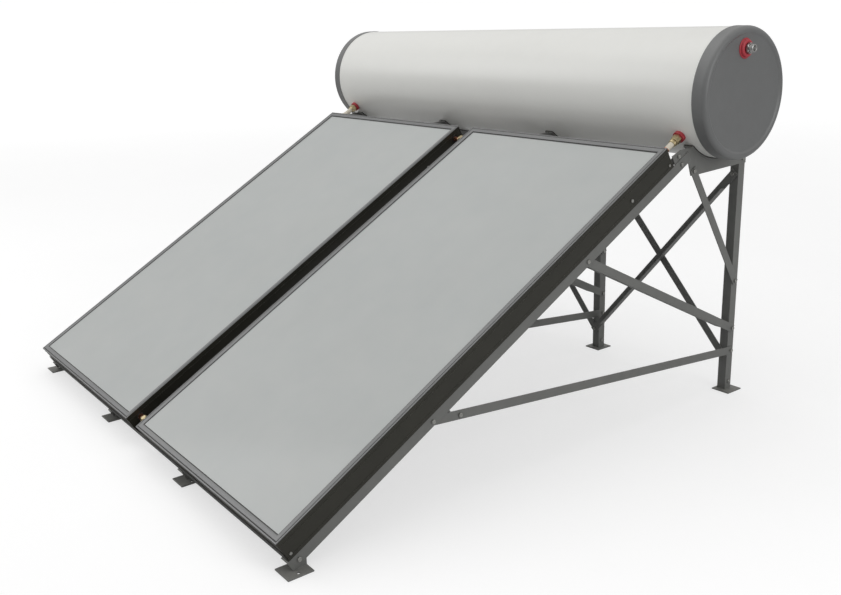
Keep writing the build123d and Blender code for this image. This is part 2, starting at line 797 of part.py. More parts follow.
def make_tank():
    """Shell, foam, inner barrel and heads, end caps, ports, seals and anode."""
    shell_end = tank_half_length - cap_depth + cap_lap
    shell = tank_rod(tank_radius, (-shell_end, shell_end))
    shell -= tank_rod(tank_radius - shell_thickness, (-shell_end - 1, shell_end + 1))

    barrel_ends = (-barrel_half_length, barrel_half_length)
    barrel = tank_rod(barrel_radius, barrel_ends)
    barrel -= tank_rod(barrel_radius - barrel_thickness, (barrel_ends[0] - 1, barrel_ends[1] + 1))
    head = head_profile(0) - head_profile(barrel_thickness)

    foam_end = tank_half_length - dish_depth - cap_thickness - 1.0
    foam = tank_rod(tank_radius - shell_thickness - 0.3, (-foam_end, foam_end))
    foam -= tank_rod(barrel_radius + 0.3, barrel_ends)
    dome_room = head_profile(-0.3)
    foam -= dome_room
    foam -= mirrored(dome_room)
    edge_room = tank_rod(tank_radius + 5, (shell_end - 1, foam_end + 1))
    edge_room -= tank_rod(cap_radius - cap_thickness - 14, (shell_end - 2, foam_end + 2))
    foam -= edge_room
    foam -= mirrored(edge_room)

    outer_tank = tank_rod(barrel_radius, (-port_x - 60, port_x + 60))
    shell_room = tank_rod(tank_radius + 0.2, (-port_x - 60, port_x + 60))
    for x in (-port_x, port_x):
        reach = (union_start + 8, union_start + 220)
        stub = on_slope(rod_y(pipe_radius, x, reach, -header_depth)) - outer_tank
        stub = stub.solids().sort_by(Axis.Y)[0]
        bore = on_slope(rod_y(pipe_bore, x, (reach[0] - 1, reach[1] - 110), -header_depth))
        clearance = on_slope(rod_y(pipe_radius + 0.3, x, (reach[0], reach[1] - 110), -header_depth))
        seal = on_slope(rod_y(port_seal_radius, x, (union_end + 0.5, union_end + 40), -header_depth))
        seal -= on_slope(rod_y(pipe_radius + 0.1, x, (union_end - 5, union_end + 60), -header_depth))
        seal = (seal - shell_room).solids().sort_by(Axis.Y)[0]
        shell -= clearance
        foam -= clearance
        barrel -= bore
        keep("collector_ports", stub - bore)
        keep("port_seals", seal)

    cap = make_cap()
    cap_left = mirrored(cap)
    ends = []
    for side, rise in ((1, outlet_rise), (-1, -outlet_rise)):
        y, z = tank_y - outlet_forward, tank_height + rise
        tip = side * (tank_half_length + outlet_reach)
        drill = rod_x(outlet_radius + 0.3, (side * barrel_half_length, tip), y, z)
        foam -= drill
        start_x = side * (barrel_half_length - 20)
        pipe = rod_x(outlet_radius, (start_x, tip), y, z)
        collar_start = side * (tank_half_length - dish_depth + end_seal_thickness + 0.5)
        collar_end = collar_start + side * 9
        pipe += hexagon_x(19.0, (collar_start, collar_end), y, z)
        full_head = head_profile(0) if side > 0 else mirrored(head_profile(0))
        pipe -= full_head
        pipe -= tank_rod(barrel_radius + 1, (-barrel_half_length, barrel_half_length))
        pipe = pipe.solids().sort_by(Axis.X)[-1 if side > 0 else 0]
        bore = rod_x(outlet_bore, (start_x, tip + side), y, z)
        pipe -= bore
        face_x = side * (tank_half_length - dish_depth)
        seal = tube_x(end_seal_radius, outlet_radius + 0.1, (face_x, face_x + side * end_seal_thickness), y, z)
        ends.append((pipe, seal, drill, bore))

    right_pipe, right_seal, right_drill, right_bore = ends[0]
    left_pipe, left_seal, left_drill, left_bore = ends[1]
    keep("tank_shell", shell)
    keep("foam_insulation", foam)
    keep("inner_barrel", barrel)
    keep("inner_tank_heads", head - right_bore, mirrored(head) - left_bore)
    keep("end_cap_right", cap - right_drill)
    keep("end_cap_left", cap_left - left_drill)
    keep("hot_outlet_nipple", right_pipe)
    keep("cold_inlet_nipple", left_pipe)
    keep("outlet_seals", right_seal, left_seal)

    anode = rod_x(11.0, (-900, -500), tank_y, tank_height + 60)
    rod_hook = rod_x(4.0, (-barrel_half_length - 20, -900), tank_y, tank_height + 60)
    anode += rod_hook - mirrored(head_profile(0) - head_profile(barrel_thickness))
    anode = anode.solids().sort_by(Axis.X)[-1]
    keep("anode_rod", anode)


def main():
    make_stand()
    make_cross_rails()
    make_collector("left", (-half_span, -collector_gap / 2))
    make_collector("right", (collector_gap / 2, half_span))
    make_header_seals()
    make_casing_fixings()
    make_pipework()
    make_tank()

    os.makedirs("parts", exist_ok=True)
    for name, pieces in node_parts.items():
        solids = [solid for piece in pieces for solid in piece.solids()]
        shape = solids[0] if len(solids) == 1 else Compound(children=solids)
        export_step(shape, f"parts/{name}.step")
    print(len(node_parts), "nodes")


main()
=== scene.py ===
import json
import math

import bmesh
import bpy
from mathutils import Matrix, Vector


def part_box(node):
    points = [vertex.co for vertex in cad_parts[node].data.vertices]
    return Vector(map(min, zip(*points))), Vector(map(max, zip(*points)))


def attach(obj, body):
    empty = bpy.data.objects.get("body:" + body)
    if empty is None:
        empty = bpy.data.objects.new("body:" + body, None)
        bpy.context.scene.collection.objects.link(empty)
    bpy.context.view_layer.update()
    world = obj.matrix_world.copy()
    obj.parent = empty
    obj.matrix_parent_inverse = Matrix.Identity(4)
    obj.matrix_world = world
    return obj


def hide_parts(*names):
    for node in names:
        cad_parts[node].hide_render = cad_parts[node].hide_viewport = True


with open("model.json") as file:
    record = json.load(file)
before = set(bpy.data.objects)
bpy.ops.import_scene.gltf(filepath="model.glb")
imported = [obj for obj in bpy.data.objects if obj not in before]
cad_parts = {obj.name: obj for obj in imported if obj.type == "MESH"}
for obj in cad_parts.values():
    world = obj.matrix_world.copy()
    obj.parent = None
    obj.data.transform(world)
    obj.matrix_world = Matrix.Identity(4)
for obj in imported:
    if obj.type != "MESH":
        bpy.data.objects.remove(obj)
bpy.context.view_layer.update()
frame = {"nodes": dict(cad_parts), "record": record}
nodes = frame["nodes"]
print("frame loaded,", len(nodes), "nodes")

scene = bpy.context.scene
scene.view_settings.view_transform = "Standard"

# angles in degrees, lens and sensor in millimetres
cameraSet = {
    "place": (3.0697, -2.0271, 1.4298),
    "yaw": 53.44,
    "pitch": 16.43,
    "roll": -1.88,
    "lens": 40.43472,
    "sensor": 36,
    "farthest": 80,
}


def makeCamera(s):
    yaw, pitch, roll = (math.radians(s[k]) for k in ("yaw", "pitch", "roll"))
    level = math.cos(pitch)
    forward = Vector((-math.sin(yaw) * level, math.cos(yaw) * level, -math.sin(pitch)))
    right = Vector((math.cos(yaw), math.sin(yaw), 0))
    up = right.cross(forward)
    rolledRight = right * math.cos(roll) + up * math.sin(roll)
    rolledUp = up * math.cos(roll) - right * math.sin(roll)
    data = bpy.data.cameras.new("camera")
    data.sensor_width = s["sensor"]
    data.lens = s["lens"]
    data.clip_end = s["farthest"]
    camera = bpy.data.objects.new("camera", data)
    turn = Matrix((rolledRight, rolledUp, -forward)).transposed()
    camera.matrix_world = Matrix.Translation(s["place"]) @ turn.to_4x4()
    scene.collection.objects.link(camera)
    scene.camera = camera


makeCamera(cameraSet)
print("camera ready")


# shader helpers: a value that is a socket is linked, any other value is set on the input
def addNode(tree, kind, inputs=None, **settings):
    node = tree.nodes.new("ShaderNode" + kind)
    for key, value in settings.items():
        setattr(node, key, value)
    for key, value in (inputs or {}).items():
        if isinstance(value, bpy.types.NodeSocket):
            tree.links.new(value, node.inputs[key])
        else:
            node.inputs[key].default_value = value
    return node


def calc(tree, operation, first, second=0.0, clamp=False):
    node = addNode(tree, "Math", {0: first, 1: second}, operation=operation, use_clamp=clamp)
    return node.outputs[0]


def remap(tree, value, low, high, toLow, toHigh):
    ranges = {"Value": value, "From Min": low, "From Max": high, "To Min": toLow, "To Max": toHigh}
    return addNode(tree, "MapRange", ranges).outputs[0]


def mixColor(tree, factor, first, second):
    first, second = (
        c if isinstance(c, bpy.types.NodeSocket) else (*c, 1) for c in (first, second)
    )
    inputs = {0: factor, 6: first, 7: second}
    return addNode(tree, "Mix", inputs, data_type="RGBA").outputs[2]


def noise(tree, vector, scale, detail=3.0, rough=0.55):
    inputs = {"Vector": vector, "Scale": scale, "Detail": detail, "Roughness": rough}
    return addNode(tree, "TexNoise", inputs).outputs[0]


def startGroup(name, inputs, outputs):
    tree = bpy.data.node_groups.new(name, "ShaderNodeTree")
    for label, value in inputs.items():
        kind = "NodeSocketVector" if isinstance(value, tuple) else "NodeSocketFloat"
        tree.interface.new_socket(label, in_out="INPUT", socket_type=kind).default_value = value
    for label, kind in outputs.items():
        tree.interface.new_socket(label, in_out="OUTPUT", socket_type="NodeSocket" + kind)
    given = tree.nodes.new("NodeGroupInput").outputs
    result = tree.nodes.new("NodeGroupOutput").inputs
    return tree, given, result


def useGroup(tree, name, **inputs):
    node = tree.nodes.new("ShaderNodeGroup")
    node.node_tree = bpy.data.node_groups[name]
    for label, value in inputs.items():
        node.inputs[label].default_value = value
    return node.outputs


# toneShift: broad cloudy change of tone, round 1, with the same clouds as a mask
def buildToneShift():
    cloudShare, fineShare, fineScale = 0.7, 0.3, 11.0
    darkest, palest = 0.32, 0.68  # noise values that become 0 and 1
    inputs = {"Scale": 3.0, "Amount": 0.1}
    tree, given, result = startGroup("toneShift", inputs, {"Tone": "Float", "Mask": "Float"})
    place = addNode(tree, "TexCoord").outputs["Object"]
    cloud = noise(tree, place, given["Scale"], 5.0, 0.6)
    fine = noise(tree, place, calc(tree, "MULTIPLY", given["Scale"], fineScale))
    cloud = calc(tree, "MULTIPLY", cloud, cloudShare)
    both = calc(tree, "ADD", cloud, calc(tree, "MULTIPLY", fine, fineShare))
    mask = remap(tree, both, darkest, palest, 0.0, 1.0)
    signed = calc(tree, "SUBTRACT", calc(tree, "MULTIPLY", mask, 2.0), 1.0)
    tone = calc(tree, "ADD", calc(tree, "MULTIPLY", signed, given["Amount"]), 1.0)
    tree.links.new(tone, result["Tone"])
    tree.links.new(mask, result["Mask"])


# fineGrain: small surface grain, drawn out along one direction for brushed or extruded metal
def buildFineGrain():
    inputs = {"Scale": 400.0, "Stretch": (1.0, 1.0, 1.0), "Amount": 0.05}
    tree, given, result = startGroup("fineGrain", inputs, {"Tone": "Float", "Height": "Float"})
    place = addNode(tree, "TexCoord").outputs["Object"]
    stretch = {0: place, 1: given["Stretch"]}
    drawn = addNode(tree, "VectorMath", stretch, operation="MULTIPLY").outputs[0]
    grain = noise(tree, drawn, given["Scale"], 2.0)
    signed = calc(tree, "SUBTRACT", grain, 0.5)
    tone = calc(tree, "ADD", calc(tree, "MULTIPLY", signed, given["Amount"]), 1.0)
    tree.links.new(tone, result["Tone"])
    tree.links.new(grain, result["Height"])


# a broken mask along sharp edges, for edge wear and, on the stand paint, a painted highlight; and
# the normal that rounds those edges
def buildEdgeWearAndHighlight():
    offEdge, onEdge = 0.995, 0.85  # how well the rounded normal agrees with the flat one
    bare, full = 0.42, 0.6  # noise values where wear starts and where it is complete
    inputs = {"Radius": 0.001, "Breakup": 60.0}
    tree, given, result = startGroup("edgeWearAndHighlight", inputs, {"Mask": "Float", "Normal": "Vector"})
    bevel = addNode(tree, "Bevel", {"Radius": given["Radius"]}, samples=4)
    flat = addNode(tree, "NewGeometry").outputs["Normal"]
    normals = {0: bevel.outputs[0], 1: flat}
    agree = addNode(tree, "VectorMath", normals, operation="DOT_PRODUCT").outputs["Value"]
    edge = remap(tree, agree, offEdge, onEdge, 0.0, 1.0)
    place = addNode(tree, "TexCoord").outputs["Object"]
    cloud = noise(tree, place, given["Breakup"], 4.0, 0.7)
    patch = remap(tree, cloud, bare, full, 0.0, 1.0)
    tree.links.new(calc(tree, "MULTIPLY", edge, patch, True), result["Mask"])
    tree.links.new(bevel.outputs[0], result["Normal"])


# settledDust: pale dust on faces that look up, thicker in patches
def buildSettledDust():
    steep, level = 0.25, 0.95  # the normal's Z where dust starts and where it is full
    thin, thick, least = 0.35, 0.7, 0.35
    inputs = {"Amount": 0.3, "Scale": 9.0}
    tree, given, result = startGroup("settledDust", inputs, {"Mask": "Float"})
    normal = addNode(tree, "NewGeometry").outputs["Normal"]
    height = addNode(tree, "SeparateXYZ", {0: normal}).outputs[2]
    upward = remap(tree, height, steep, level, 0.0, 1.0)
    place = addNode(tree, "TexCoord").outputs["Object"]
    cloud = noise(tree, place, given["Scale"], 6.0, 0.65)
    patch = remap(tree, cloud, thin, thick, least, 1.0)
    cover = calc(tree, "MULTIPLY", upward, patch)
    tree.links.new(calc(tree, "MULTIPLY", cover, given["Amount"], True), result["Mask"])


buildToneShift()
buildFineGrain()
buildEdgeWearAndHighlight()
buildSettledDust()

# directions of the grain
alongX = (0.03, 1.0, 1.0)
evenly = (1.0, 1.0, 1.0)

# one dictionary for each finish: colours are linear, sizes in metres, scales per metre
finishes = {
    # stand paint: the pale edge colour and strong edge share paint a highlight along the rails'
    # edges, on top of real edge wear
    "standPaint": {
        "color": (0.172, 0.174, 0.166), "metallic": 0.2, "roughness": 0.44, "roughSpread": 0.10,
        "patchScale": 2.2, "patchAmount": 0.10, "grainScale": 520.0, "grainStretch": evenly,
        "grainAmount": 0.16, "grainDepth": 0.00012, "edgeRadius": 0.0022, "wearAndHighlight": 0.5,
        "wearAndHighlightColor": (0.36, 0.365, 0.35), "dust": 0.42, "dustColor": (0.36, 0.35, 0.32),
    },
    "darkPaint": {
        "color": (0.045, 0.045, 0.042), "metallic": 0.2, "roughness": 0.5, "roughSpread": 0.12,
        "patchScale": 3.0, "patchAmount": 0.15, "grainScale": 480.0, "grainStretch": evenly,
        "grainAmount": 0.15, "grainDepth": 0.00012, "edgeRadius": 0.001, "wearAndHighlight": 0.35,
        "wearAndHighlightColor": (0.25, 0.25, 0.24), "dust": 0.25, "dustColor": (0.30, 0.29, 0.27),
    },
    "zincSteel": {
        "color": (0.36, 0.36, 0.34), "metallic": 0.85, "roughness": 0.40, "roughSpread": 0.2,
        "patchScale": 60.0, "patchAmount": 0.14, "grainScale": 1400.0, "grainStretch": evenly,
        "grainAmount": 0.12, "grainDepth": 0.00004, "edgeRadius": 0.0004, "wearAndHighlight": 0.3,
        "wearAndHighlightColor": (0.6, 0.6, 0.57), "dust": 0.2, "dustColor": (0.30, 0.28, 0.25),
    },
    "blackRubber": {
        "color": (0.022, 0.022, 0.022), "metallic": 0.0, "roughness": 0.72, "roughSpread": 0.12,
        "patchScale": 14.0, "patchAmount": 0.25, "grainScale": 900.0, "grainStretch": evenly,
        "grainAmount": 0.2, "grainDepth": 0.00015, "edgeRadius": 0.0006, "wearAndHighlight": 0.2,
        "wearAndHighlightColor": (0.07, 0.07, 0.068), "dust": 0.25, "dustColor": (0.2, 0.19, 0.17),
    },
    "casingBronze": {
        "color": (0.030, 0.029, 0.022), "metallic": 0.3, "roughness": 0.36, "roughSpread": 0.10,
        "patchScale": 1.6, "patchAmount": 0.16, "grainScale": 700.0, "grainStretch": (1, 0.06, 1),
        "grainAmount": 0.18, "grainDepth": 0.00005, "edgeRadius": 0.0007, "wearAndHighlight": 0.45,
        "wearAndHighlightColor": (0.22, 0.21, 0.18), "dust": 0.18, "dustColor": (0.24, 0.23, 0.20),
    },
    "trimGrey": {
        "color": (0.190, 0.193, 0.195), "metallic": 0.3, "roughness": 0.38, "roughSpread": 0.08,
        "patchScale": 1.8, "patchAmount": 0.07, "grainScale": 800.0, "grainStretch": (1, 0.05, 1),
        "grainAmount": 0.12, "grainDepth": 0.00004, "edgeRadius": 0.0006, "wearAndHighlight": 0.4,
        "wearAndHighlightColor": (0.42, 0.42, 0.42), "dust": 0.15, "dustColor": (0.34, 0.33, 0.31),
    },
    "millAluminium": {
        "color": (0.60, 0.60, 0.61), "metallic": 1.0, "roughness": 0.36, "roughSpread": 0.12,
        "patchScale": 2.0, "patchAmount": 0.08, "grainScale": 900.0, "grainStretch": alongX,
        "grainAmount": 0.18, "grainDepth": 0.00005, "edgeRadius": 0.0005, "wearAndHighlight": 0.1,
        "wearAndHighlightColor": (0.75, 0.75, 0.75), "dust": 0.15, "dustColor": (0.35, 0.33, 0.3),
    },
    "selectiveBlue": {
        "color": (0.018, 0.028, 0.075), "metallic": 0.7, "roughness": 0.3, "roughSpread": 0.08,
        "patchScale": 1.2, "patchAmount": 0.3, "grainScale": 900.0, "grainStretch": (1, 0.04, 0.04),
        "grainAmount": 0.3, "grainDepth": 0.00005, "edgeRadius": 0.0004, "wearAndHighlight": 0.1,
        "wearAndHighlightColor": (0.3, 0.2, 0.15), "dust": 0.0, "dustColor": (0.3, 0.3, 0.3),
    },
    "copper": {
        "color": (0.70, 0.30, 0.19), "metallic": 1.0, "roughness": 0.28, "roughSpread": 0.18,
        "patchScale": 20.0, "patchAmount": 0.22, "grainScale": 1200.0, "grainStretch": alongX,
        "grainAmount": 0.2, "grainDepth": 0.00004, "edgeRadius": 0.0004, "wearAndHighlight": 0.4,
        "wearAndHighlightColor": (0.85, 0.45, 0.3), "dust": 0.15, "dustColor": (0.22, 0.13, 0.09),
    },
    "brass": {
        "color": (0.62, 0.52, 0.32), "metallic": 1.0, "roughness": 0.3, "roughSpread": 0.16,
        "patchScale": 28.0, "patchAmount": 0.15, "grainScale": 1500.0, "grainStretch": evenly,
        "grainAmount": 0.12, "grainDepth": 0.00004, "edgeRadius": 0.0006, "wearAndHighlight": 0.5,
        "wearAndHighlightColor": (0.85, 0.72, 0.42), "dust": 0.15, "dustColor": (0.3, 0.26, 0.18),
    },
    "creamPipe": {
        "color": (0.70, 0.65, 0.54), "metallic": 0.0, "roughness": 0.55, "roughSpread": 0.12,
        "patchScale": 9.0, "patchAmount": 0.09, "grainScale": 600.0, "grainStretch": evenly,
        "grainAmount": 0.1, "grainDepth": 0.00015, "edgeRadius": 0.0008, "wearAndHighlight": 0.1,
        "wearAndHighlightColor": (0.8, 0.76, 0.68), "dust": 0.3, "dustColor": (0.42, 0.38, 0.31),
    },
    "shellWhite": {
        "color": (0.77, 0.77, 0.74), "metallic": 0.0, "roughness": 0.32, "roughSpread": 0.06,
        "patchScale": 1.3, "patchAmount": 0.018, "grainScale": 300.0, "grainStretch": evenly,
        "grainAmount": 0.012, "grainDepth": 0.00006, "edgeRadius": 0.0006, "wearAndHighlight": 0.25,
        "wearAndHighlightColor": (0.6, 0.6, 0.58), "dust": 0.10, "dustColor": (0.60, 0.58, 0.53),
    },
    "capGrey": {
        "color": (0.145, 0.148, 0.148), "metallic": 0.0, "roughness": 0.40, "roughSpread": 0.08,
        "patchScale": 4.0, "patchAmount": 0.06, "grainScale": 420.0, "grainStretch": evenly,
        "grainAmount": 0.10, "grainDepth": 0.00014, "edgeRadius": 0.0008, "wearAndHighlight": 0.25,
        "wearAndHighlightColor": (0.28, 0.285, 0.28), "dust": 0.20, "dustColor": (0.36, 0.35, 0.33),
    },
    "foam": {
        "color": (0.72, 0.57, 0.26), "metallic": 0.0, "roughness": 0.9, "roughSpread": 0.05,
        "patchScale": 12.0, "patchAmount": 0.1, "grainScale": 500.0, "grainStretch": evenly,
        "grainAmount": 0.35, "grainDepth": 0.0006, "edgeRadius": 0.0008, "wearAndHighlight": 0.1,
        "wearAndHighlightColor": (0.8, 0.7, 0.4), "dust": 0.0, "dustColor": (0.5, 0.5, 0.5),
    },
    "enamelSteel": {
        "color": (0.07, 0.12, 0.26), "metallic": 0.0, "roughness": 0.2, "roughSpread": 0.08,
        "patchScale": 5.0, "patchAmount": 0.12, "grainScale": 350.0, "grainStretch": evenly,
        "grainAmount": 0.2, "grainDepth": 0.00008, "edgeRadius": 0.0008, "wearAndHighlight": 0.2,
        "wearAndHighlightColor": (0.2, 0.2, 0.22), "dust": 0.0, "dustColor": (0.5, 0.5, 0.5),
    },
    "threadedSteel": {
        "color": (0.42, 0.42, 0.41), "metallic": 1.0, "roughness": 0.36, "roughSpread": 0.2,
        "patchScale": 40.0, "patchAmount": 0.18, "grainScale": 1300.0, "grainStretch": evenly,
        "grainAmount": 0.15, "grainDepth": 0.00005, "edgeRadius": 0.0004, "wearAndHighlight": 0.4,
        "wearAndHighlightColor": (0.7, 0.7, 0.68), "dust": 0.25, "dustColor": (0.22, 0.17, 0.13),
    },
    "redSilicone": {
        "color": (0.42, 0.030, 0.045), "metallic": 0.0, "roughness": 0.48, "roughSpread": 0.12,
        "patchScale": 30.0, "patchAmount": 0.12, "grainScale": 900.0, "grainStretch": evenly,
        "grainAmount": 0.12, "grainDepth": 0.00012, "edgeRadius": 0.001, "wearAndHighlight": 0.15,
        "wearAndHighlightColor": (0.60, 0.13, 0.13), "dust": 0.2, "dustColor": (0.44, 0.22, 0.20),
    },
    "magnesium": {
        "color": (0.5, 0.5, 0.49), "metallic": 0.9, "roughness": 0.5, "roughSpread": 0.1,
        "patchScale": 25.0, "patchAmount": 0.15, "grainScale": 800.0, "grainStretch": alongX,
        "grainAmount": 0.2, "grainDepth": 0.0001, "edgeRadius": 0.0005, "wearAndHighlight": 0.1,
        "wearAndHighlightColor": (0.6, 0.6, 0.6), "dust": 0.0, "dustColor": (0.4, 0.4, 0.4),
    },
}


def startMaterial(name):
    material = bpy.data.materials.new(name)
    material.use_nodes = True
    return material, material.node_tree, material.node_tree.nodes["Principled BSDF"]


# tone, grain, edge wear (with a painted highlight on the stand paint) and dust over one colour
def makeFinish(name, s):
    dustDulls = 0.35  # roughness that full dust adds
    material, tree, shader = startMaterial(name)
    tone = useGroup(tree, "toneShift", Scale=s["patchScale"], Amount=s["patchAmount"])
    grain = useGroup(
        tree, "fineGrain", Scale=s["grainScale"], Stretch=s["grainStretch"],
        Amount=s["grainAmount"],
    )
    edge = useGroup(tree, "edgeWearAndHighlight", Radius=s["edgeRadius"])
    dust = useGroup(tree, "settledDust", Amount=s["dust"])
    shade = {0: s["color"], "Scale": calc(tree, "MULTIPLY", tone["Tone"], grain["Tone"])}
    base = addNode(tree, "VectorMath", shade, operation="SCALE").outputs[0]
    # the edge mask mixes in real wear, and on the stand paint a painted highlight along the edges
    wearAndHighlight = calc(tree, "MULTIPLY", edge["Mask"], s["wearAndHighlight"])
    wornAndHighlighted = mixColor(tree, wearAndHighlight, base, s["wearAndHighlightColor"])
    dusty = mixColor(tree, dust["Mask"], wornAndHighlighted, s["dustColor"])
    tree.links.new(dusty, shader.inputs["Base Color"])
    half = s["roughSpread"] / 2
    spread = remap(tree, tone["Mask"], 0.0, 1.0, s["roughness"] - half, s["roughness"] + half)
    dull = calc(tree, "ADD", spread, calc(tree, "MULTIPLY", dust["Mask"], dustDulls), True)
    tree.links.new(dull, shader.inputs["Roughness"])
    shader.inputs["Metallic"].default_value = s["metallic"]
    relief = {"Height": grain["Height"], "Distance": s["grainDepth"], "Normal": edge["Normal"]}
    tree.links.new(addNode(tree, "Bump", relief).outputs[0], shader.inputs["Normal"])
    return material


glassSet = {
    "color": (0.425, 0.448, 0.442), "lightColor": (0.475, 0.495, 0.488), "roughness": 0.42,
    "patchScale": 0.9, "transmission": 0.05, "ior": 1.5, "coat": 0.35, "coatRoughness": 0.12,
    "prismScale": 260.0, "prismDepth": 0.0004, "prismStrength": 0.5,
    "dust": 0.22, "dustScale": 5.0, "dustColor": (0.50, 0.49, 0.46), "dustDulls": 0.3,
}


# low-iron cover glass with a rolled matt pattern on its face
def makeGlass(s):
    material, tree, shader = startMaterial("solarGlass")
    place = addNode(tree, "TexCoord").outputs["Object"]
    tone = useGroup(tree, "toneShift", Scale=s["patchScale"])
    dust = useGroup(tree, "settledDust", Amount=s["dust"], Scale=s["dustScale"])
    base = mixColor(tree, tone["Mask"], s["color"], s["lightColor"])
    dusty = mixColor(tree, dust["Mask"], base, s["dustColor"])
    tree.links.new(dusty, shader.inputs["Base Color"])
    dull = calc(tree, "MULTIPLY", dust["Mask"], s["dustDulls"])
    rough = calc(tree, "ADD", s["roughness"], dull, True)
    tree.links.new(rough, shader.inputs["Roughness"])
    grid = {"Vector": place, "Scale": s["prismScale"]}
    cells = addNode(tree, "TexVoronoi", grid, feature="SMOOTH_F1").outputs["Distance"]
    relief = {"Height": cells, "Distance": s["prismDepth"], "Strength": s["prismStrength"]}
    tree.links.new(addNode(tree, "Bump", relief).outputs[0], shader.inputs["Normal"])
    shader.inputs["Transmission Weight"].default_value = s["transmission"]
    shader.inputs["Coat Weight"].default_value = s["coat"]
    shader.inputs["Coat Roughness"].default_value = s["coatRoughness"]
    shader.inputs["IOR"].default_value = s["ior"]
    return material


woolSet = {
    "color": (0.50, 0.42, 0.20), "gapShadeColor": (0.30, 0.24, 0.10), "bendScale": 30.0,
    "lie": (1.0, 0.15, 1.0), "fibreScale": 260.0, "fibreDepth": 0.003, "gap": 0.38, "body": 0.62,
    "gapRoughness": 0.95, "fibreRoughness": 0.8,
}


# matted fibres of mineral wool, with painted shade darkening the gaps between the fibres
def makeWool(s):
    material, tree, shader = startMaterial("mineralWool")
    place = addNode(tree, "TexCoord").outputs["Object"]
    bent = noise(tree, place, s["bendScale"], 4.0, 0.7)
    drawn = addNode(tree, "VectorMath", {0: place, 1: s["lie"]}, operation="MULTIPLY").outputs[0]
    turned = addNode(tree, "VectorMath", {0: drawn, 1: bent}, operation="ADD").outputs[0]
    fibre = noise(tree, turned, s["fibreScale"], 5.0, 0.75)
    clear = remap(tree, fibre, s["gap"], s["body"], 0.0, 1.0)
    color = mixColor(tree, clear, s["gapShadeColor"], s["color"])
    tree.links.new(color, shader.inputs["Base Color"])
    rough = remap(tree, clear, 0.0, 1.0, s["gapRoughness"], s["fibreRoughness"])
    tree.links.new(rough, shader.inputs["Roughness"])
    relief = {"Height": clear, "Distance": s["fibreDepth"]}
    tree.links.new(addNode(tree, "Bump", relief).outputs[0], shader.inputs["Normal"])
    return material


materials = {name: makeFinish(name, s) for name, s in finishes.items()}
materials["solarGlass"] = makeGlass(glassSet)
materials["mineralWool"] = makeWool(woolSet)
print("materials ready,", len(materials))

# record slot: finish
slotFinish = {
    "stand_grey": "standPaint", "stand_dark": "darkPaint", "zinc_steel": "zincSteel",
    "black_rubber": "blackRubber", "casing_bronze": "casingBronze", "trim_grey": "trimGrey",
    "solar_glass": "solarGlass", "mill_aluminium": "millAluminium", "mineral_wool": "mineralWool",
    "selective_blue": "selectiveBlue", "copper": "copper", "brass": "brass",
    "cream_pipe": "creamPipe", "shell_white": "shellWhite", "cap_grey": "capGrey", "foam": "foam",
    "enamelled_steel": "enamelSteel", "threaded_steel": "threadedSteel",
    "red_silicone": "redSilicone", "magnesium": "magnesium",
}
slotOf = {part["node"]: part["material_slot"] for part in frame["record"]["subparts"]}
for name, piece in nodes.items():
    piece.data.materials.clear()
    piece.data.materials.append(materials[slotFinish[slotOf[name]]])
print("finishes given to", len(nodes), "nodes")


touching = 1e-6  # points nearer than this are one point


# Turned pieces. A step is (along, radius) or (along, radius, kind, size): "hex" cuts flats at
# that distance from the axis, "thread" cuts a helical groove of that depth.
def ringRadius(step, angle, pitch):
    along, radius = step[0], step[1]
    if len(step) == 2:
        return radius
    if step[2] == "hex":
        turn = (angle + math.pi / 6) % (math.pi / 3) - math.pi / 6
        return min(radius, step[3] / math.cos(turn))
    phase = (along / pitch - angle / math.tau) % 1
    return radius - step[3] * abs(2 * phase - 1)


def turnPiece(mesh, steps, place, axis, count=96, pitch=0.00125, closed=False):
    facing = Vector(axis).to_track_quat("Z", "Y").to_matrix().to_4x4()
    turn = Matrix.Translation(place) @ facing
    rings = []
    for step in steps:
        if step[1] < touching:
            rings.append([mesh.verts.new(turn @ Vector((0, 0, step[0])))])
            continue
        ring = []
        for number in range(count):
            angle = math.tau * number / count
            radius = ringRadius(step, angle, pitch)
            point = Vector((radius * math.cos(angle), radius * math.sin(angle), step[0]))
            ring.append(mesh.verts.new(turn @ point))
        rings.append(ring)
    pairs = list(zip(rings, rings[1:]))
    if closed:
        pairs.append((rings[-1], rings[0]))
    for first, second in pairs:
        for number in range(count):
            after = (number + 1) % count
            corners = [first[number % len(first)], first[after % len(first)],
                       second[after % len(second)], second[number % len(second)]]
            unique = list(dict.fromkeys(corners))
            if len(unique) > 2:
                mesh.faces.new(unique)


def meshData(name, mesh):
    bmesh.ops.recalc_face_normals(mesh, faces=mesh.faces)
    data = bpy.data.meshes.new(name)
    mesh.to_mesh(data)
    mesh.free()
    data.shade_smooth()
    return data


def finishPiece(name, mesh, material, replaced, sharp=35):
    data = meshData(name, mesh)
    data.set_sharp_from_angle(angle=math.radians(sharp))
    data.materials.append(materials[material])
    piece = bpy.data.objects.new(name, data)
    scene.collection.objects.link(piece)
    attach(piece, "root")
    if replaced:
        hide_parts(*replaced)


# rings of a thread, whose groove grows from nothing and fades again at its ends
def threadRun(start, end, radius, depth, pitch):
    ringsPerTurn, fadeRate = 6, 8
    count = max(ringsPerTurn, round((end - start) / pitch * ringsPerTurn))
    steps = []
    for number in range(count + 1):
        share = number / count
        fade = min(1, share * fadeRate, (1 - share) * fadeRate)
        steps.append((start + (end - start) * share, radius, "thread", depth * fade))
    return steps


